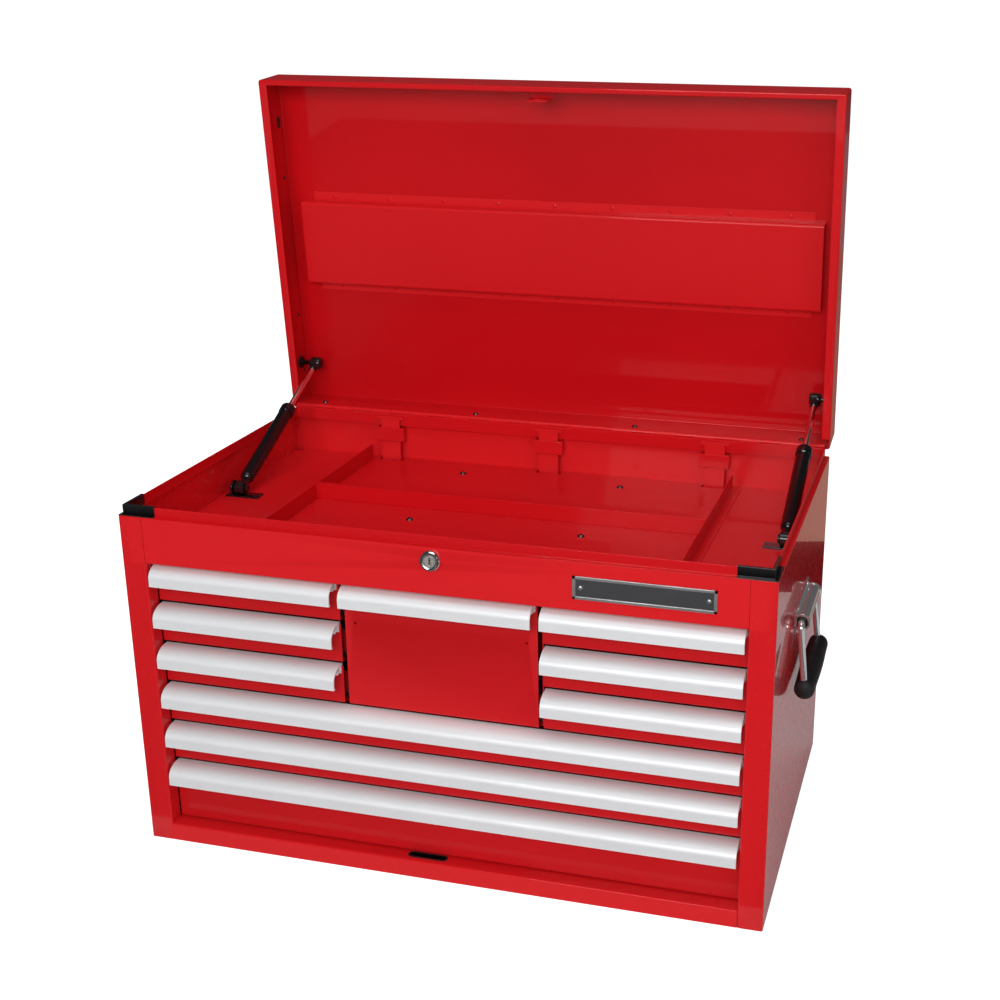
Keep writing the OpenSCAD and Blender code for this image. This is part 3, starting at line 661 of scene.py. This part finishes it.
def build_struts():
    """Gas struts: enamelled cylinder with a guide cap, polished rod and moulded ball socket."""
    for side, sign in SIDES:
        low, _ = joint(f"strut_tilt_{side}")
        _, way = joint(f"strut_slide_{side}")
        reach = STRUT_DEPTH / way.y
        ball = low + way * reach
        body, arm = f"strut_tube_{side}", f"strut_arm_{side}"
        bm = bmesh.new()
        # neck over the lower eye, tube, and the guide cap that the rod slides through
        tube_end = 147
        turned(bm, [(3.6, 5), (5.0, 6), (5.2, 13), (7.2, 14.5), (8.5, 17.5), (8.5, 131), (8.1, 132),
                    (8.1, 133.5), (9.3, 134.5), (9.5, 136), (9.5, 144), (8.6, 146.2), (6.5, tube_end),
                    (3.6, tube_end), (3.6, tube_end - 3)], low, way, 48)
        turned(bm, [(3.05, -6), (7.2, -6), (8, -5.2), (8, 5.2), (7.2, 6), (3.05, 6)], low,
               (1, 0, 0), 40)
        piece(f"strut_tube_{side}_finished", bm, gloss_black, body,
              (f"strut_cylinder_{side}",))
        bm = bmesh.new()
        rod_start, rod_end, rod_radius = 96, reach - 7, 3.5
        turned(bm, [(rod_radius - 0.5, rod_start), (rod_radius, rod_start + 0.5),
                    (rod_radius, rod_end)], low, way, 32)
        piece(f"strut_rod_{side}_finished", bm, chrome, arm, (f"strut_rod_{side}",))
        bm = bmesh.new()
        turned(bm, [(4.1, reach - 15), (5.0, reach - 13.5), (5.4, reach - 9), (6.2, reach - 4)],
               low, way, 32)
        turned(bm, [(3.5, -7), (6.4, -6.6), (7.6, -5), (7.9, 0), (7.6, 5), (6.4, 6.6), (3.5, 7)],
               ball, (1, 0, 0), 40)
        stud = HALF_W - SHEET - 0.7 - abs(ball.x)
        turned(bm, [(3, 6), (3, stud - 2.2), (7.2, stud - 2), (8, stud - 1.2), (8, stud)],
               ball, (sign, 0, 0), 32)
        piece(f"strut_socket_{side}_finished", bm, plastic, arm,
              (f"strut_socket_{side}",))


# ---- lock bars ----

def build_lock_bars():
    """Bars behind the drawers, each with a cross head at the top and a tongue for each row."""
    bars = Span("lock_bars")
    bar_half, head_half, tongue_half = 12.5, 17.5, 8
    head, thick, tongue = 3.5, 2, 8
    rows, row_pitch, first_tongue = 6, 47, 310.5
    face = bars.y0 + tongue
    outer = bars.x1 - bar_half
    bm = bmesh.new()
    for x in (-outer, 0, outer):
        slab(bm, (x - bar_half, x + bar_half), (face, face + thick), (bars.z0, bars.z1 - 3), 0.5)
        slab(bm, (x - head_half, x + head_half), (face, face + thick),
             (bars.z1 - head, bars.z1), 0.4)
        for k in range(rows):
            z = first_tongue - row_pitch * k
            slab(bm, (x - tongue_half, x + tongue_half), (bars.y0, face), (z, z + thick), 0.4)
    piece("lock_bars_finished", bm, red, "bars", ("lock_bars",))


# ---- side handles ----

def build_handle_sleeve(side, sign, pivot):
    """Rolled sleeve flared at its ends, on a riveted backplate."""
    x, y, z = abs(pivot.x), pivot.y, pivot.z
    half = 46
    # (radius, distance along the case) from the bore round the near flare to the far one
    profile = [(7.2, -half), (9.3, -half), (9.6, -half + 0.5), (9.4, -half + 2), (8.4, -half + 3.2),
               (8.4, half - 3.2), (9.4, half - 2), (9.6, half - 0.5), (9.3, half), (7.2, half),
               (6.9, half - 0.8), (6.9, -half + 0.8)]
    loops = [[(sign * (x + r * math.cos(q)), y + d, z + r * math.sin(q))
              for q in (2 * math.pi * k / 48 for k in range(48))] for r, d in profile]
    bm = bmesh.new()
    loft(bm, loops, closed=True)
    # the sleeve ends where it meets the side wall
    cutter = bmesh.new()
    inside = sorted((sign * (HALF_W - 20), sign * (HALF_W + 0.02)))
    slab(cutter, inside, (y - half - 5, y + half + 5), (z - 20, z + 20), 0)
    bm = cut(bm, cutter)
    out = HALF_W + 1.4
    face = sorted((sign * HALF_W, sign * out))
    slab(bm, face, (y - half, y + half), (z - 15, z + 13), 0.5)
    slab(bm, face, (y + half - 1, y + half + 7), (z + 2, z + 13), 0.5)
    rivet, rivet_inset = [(2.4, 0), (2.3, 0.5), (1.5, 1.0), (0.01, 1.2)], 8
    for dy in (-half + rivet_inset, half - rivet_inset):
        for dz in (-12, 11):
            turned(bm, rivet, (sign * out, y + dy, z + dz), (sign, 0, 0), 20)
    # the plates of both sides are one CAD node, which is replaced once
    piece(f"handle_sleeve_{side}", bm, chrome_with_painted_sheen, "case",
          ("handle_plates",) if sign < 0 else ())


def build_bail(side, sign, pivot, grip):
    """Wire from inside the sleeve down both ends and into the grip."""
    x, y, z = abs(pivot.x), pivot.y, pivot.z
    grip_x = (abs(grip.x0) + abs(grip.x1)) / 2
    grip_z = (grip.z0 + grip.z1) / 2
    top_half, low_half, wire, bend = 51, 59, 3.5, 7
    bm = bmesh.new()
    for way in (-1, 1):
        path = fillet([
            Vector((sign * x, y + way * 10, z)), Vector((sign * x, y + way * top_half, z)),
            Vector((sign * grip_x, y + way * low_half, grip_z)),
            Vector((sign * grip_x, y + way * 30, grip_z))], bend, steps=8)
        tube(bm, path, wire)
    piece(f"bail_wire_{side}", bm, chrome_with_painted_sheen, f"handle_{side}", (f"bail_{side}",))


def build_grip(side, sign, pivot, grip):
    """Rubber sleeve with round ends, a slightly full middle and fine ribs."""
    grip_x = (abs(grip.x0) + abs(grip.x1)) / 2
    grip_z = (grip.z0 + grip.z1) / 2
    reach = (grip.y1 - grip.y0) / 2
    radius, fullness, rib, rounding, steps = 11.4, 0.5, 0.25, 8, 44
    profile = []
    for k in range(steps + 1):
        d = -reach + 2 * reach * k / steps
        end = max(0.0, abs(d) - (reach - rounding))
        rounded = rounding - math.sqrt(max(0.0, rounding ** 2 - end * end))
        full = fullness * math.cos(math.pi * d / reach)
        sunk = rib * (k % 2) * (abs(d) < reach - 14)
        profile.append((max(0.05, radius + full - sunk - rounded), d))
    bm = bmesh.new()
    turned(bm, profile, (sign * grip_x, pivot.y, grip_z), (0, 1, 0), 40)
    piece(f"grip_sleeve_{side}", bm, rubber, f"handle_{side}", (f"grip_{side}",),
          sharp=60)


def build_handles():
    """Lifting handles on both side walls."""
    for side, sign in SIDES:
        pivot, _ = joint(f"handle_swing_{side}")
        grip = Span(f"grip_{side}")
        build_handle_sleeve(side, sign, pivot)
        build_bail(side, sign, pivot, grip)
        build_grip(side, sign, pivot, grip)


# ---- the rest of the CAD nodes ----

def finish_cad_nodes():
    """Eases the edges of visible CAD shapes, and gives the rest better materials."""
    drawers = [f"{column}_{row}" for column in ("left", "right") for row in (1, 2, 3)]
    drawers += ["centre", "wide_1", "wide_2", "wide_3"]
    for name in drawers:
        eased(f"tray_{name}", tray_red, 0.4)
        eased(f"pull_{name}", silver, 0.3, 30)
    eased("corner_caps", plastic, 0.45)
    eased("till_dividers", red, 0.4)
    eased("bar_guides", red, 0.5)
    eased("lid_strike", red, 0.4)
    eased("strut_brackets", gloss_black, 0.45)
    kept = {
        red: ("back_panel", "till_floor", "column_walls", "middle_shelf", "hinge_case_leaf",
              "hinge_lid_leaf"),
        dark_steel: ("slide_posts", "slide_channels", "hinge_pin"),
    }
    for material, nodes in kept.items():
        for node in nodes:
            for place in frame["nodes"][node].material_slots:
                place.material = material


# ---- floor, light and camera ----

def stage_card(name, corners, colour, strength=0.0, only_reflected=False, white_to_camera=False):
    """Flat staging surface; one that is only reflected shows in glossy paint but nowhere else."""
    mesh = bpy.data.meshes.new(name)
    mesh.from_pydata(corners, [], [tuple(range(len(corners)))])
    card = bpy.data.objects.new(name, mesh)
    bpy.context.scene.collection.objects.link(card)
    glow = (1, 1, 1, 1) if white_to_camera else (*colour, 1)
    f = Finish(name, Base_Color=(*colour, 1), Roughness=0.9, Specular_IOR_Level=0.0,
               Emission_Color=glow)
    if strength:
        f.shader.inputs["Emission Strength"].default_value = strength
    if white_to_camera:
        # the studio floor burns out to white in the picture without lighting the chest from below
        ray = f.tree.nodes.new("ShaderNodeLightPath").outputs["Is Camera Ray"]
        f.feed("Emission Strength", f.spread(ray, 0, 1, 0, 0.86))
    mesh.materials.append(f.material)
    if only_reflected:
        card.visible_camera = False
        card.visible_diffuse = False
        card.visible_shadow = False
        card.visible_transmission = False
        card.visible_volume_scatter = False


def on_floor(x0, x1, y0, y1, z):
    """Corners of a rectangle that lies at height z."""
    return [(x0, y0, z), (x1, y0, z), (x1, y1, z), (x0, y1, z)]


def soft_light(name, place, target, size, power, mirrored=True):
    """Rectangular lamp aimed at a target; one that isn't mirrored lights without reflections."""
    data = bpy.data.lights.new(name, "AREA")
    data.shape = "RECTANGLE"
    data.size, data.size_y = size
    data.energy = power
    light = bpy.data.objects.new(name, data)
    light.location = place
    light.visible_glossy = mirrored
    way = Vector(target) - Vector(place)
    light.rotation_euler = way.to_track_quat("-Z", "Y").to_euler()
    bpy.context.scene.collection.objects.link(light)


def build_floor():
    """Plain pale floor, and the surfaces that only the glossy paint sees."""
    stage_card("floor", on_floor(-9, 9, -9, 9, -0.0005), (0.68, 0.68, 0.68), white_to_camera=True)
    # what the glossy side wall mirrors: a dark strip and a warm field behind the chest
    strip = [(0.30, 0.723, 0.003), (0.90, 0.556, 0.003), (0.90, 0.787, 0.003), (0.30, 0.960, 0.003)]
    stage_card("dark_strip", strip, (0.02, 0.004, 0.006), only_reflected=True)
    stage_card("warm_field", on_floor(0.3, 3.5, 0.84, 4.0, 0.002), (0.42, 0.26, 0.2), 0.3,
               only_reflected=True)
    # and what the front mirrors: the dim floor before it
    stage_card("dark_front", on_floor(-1.6, 1.6, -2.6, -0.24, 0.002), (0.06, 0.05, 0.05),
               only_reflected=True)


def build_room():
    """White to the camera, an even soft light on the chest, and dim in its reflections."""
    world = bpy.data.worlds.new("studio")
    bpy.context.scene.world = world
    world.use_nodes = True
    nodes, links = world.node_tree.nodes, world.node_tree.links
    ray = nodes.new("ShaderNodeLightPath")
    mix = nodes.new("ShaderNodeMixShader")
    seen = nodes["Background"]
    seen.inputs["Color"].default_value = (1, 1, 1, 1)
    seen.inputs["Strength"].default_value = 1.05
    room = nodes.new("ShaderNodeBackground")
    room.inputs["Color"].default_value = (0.9, 0.92, 0.95, 1)
    dim = nodes.new("ShaderNodeMapRange")
    dim.inputs["To Min"].default_value = 0.30
    dim.inputs["To Max"].default_value = 0.04
    links.new(ray.outputs["Is Glossy Ray"], dim.inputs["Value"])
    links.new(dim.outputs["Result"], room.inputs["Strength"])
    links.new(ray.outputs["Is Camera Ray"], mix.inputs[0])
    links.new(room.outputs[0], mix.inputs[1])
    links.new(seen.outputs[0], mix.inputs[2])
    links.new(mix.outputs[0], nodes["World Output"].inputs["Surface"])


def build_lights():
    """Large key light in front, a lamp overhead, a weak fill from the right and one from behind."""
    soft_light("key", (0.2, -3.0, 1.6), (0, 0, 0.4), (2.0, 1.2), 50)
    soft_light("overhead", (0.2, -0.7, 2.9), (0, 0.1, 0.2), (2.2, 1.6), 18)
    soft_light("fill", (2.3, -1.9, 1.2), (0.1, 0, 0.3), (1.2, 1.4), 7)
    soft_light("rear", (-0.6, 2.2, 1.8), (0, 0.2, 0.4), (1.8, 1.0), 10, mirrored=False)


def build_camera():
    """View from the front right and above, with the chest filling most of the picture."""
    data = bpy.data.cameras.new("camera")
    data.sensor_width = 36
    data.lens = 52.6
    data.shift_x = -0.12
    data.dof.use_dof = False
    camera = bpy.data.objects.new("camera", data)
    pitch, yaw, roll = math.radians(70.92), math.radians(14.09), math.radians(0.53)
    turn = Euler((pitch, 0, yaw)).to_matrix().to_4x4() @ Matrix.Rotation(roll, 4, "Z")
    camera.matrix_world = Matrix.Translation((0.5057, -1.4562, 0.8944)) @ turn
    bpy.context.scene.collection.objects.link(camera)
    bpy.context.scene.camera = camera
    bpy.context.scene.view_settings.view_transform = "Standard"


build_sides()
build_top_rail()
build_bottom()
build_rim()
build_badge()
build_lock()
build_lid()
build_stiffener()
build_hinge_edge()
build_screws()
build_struts()
build_lock_bars()
build_handles()
finish_cad_nodes()
build_floor()
build_room()
build_lights()
build_camera()
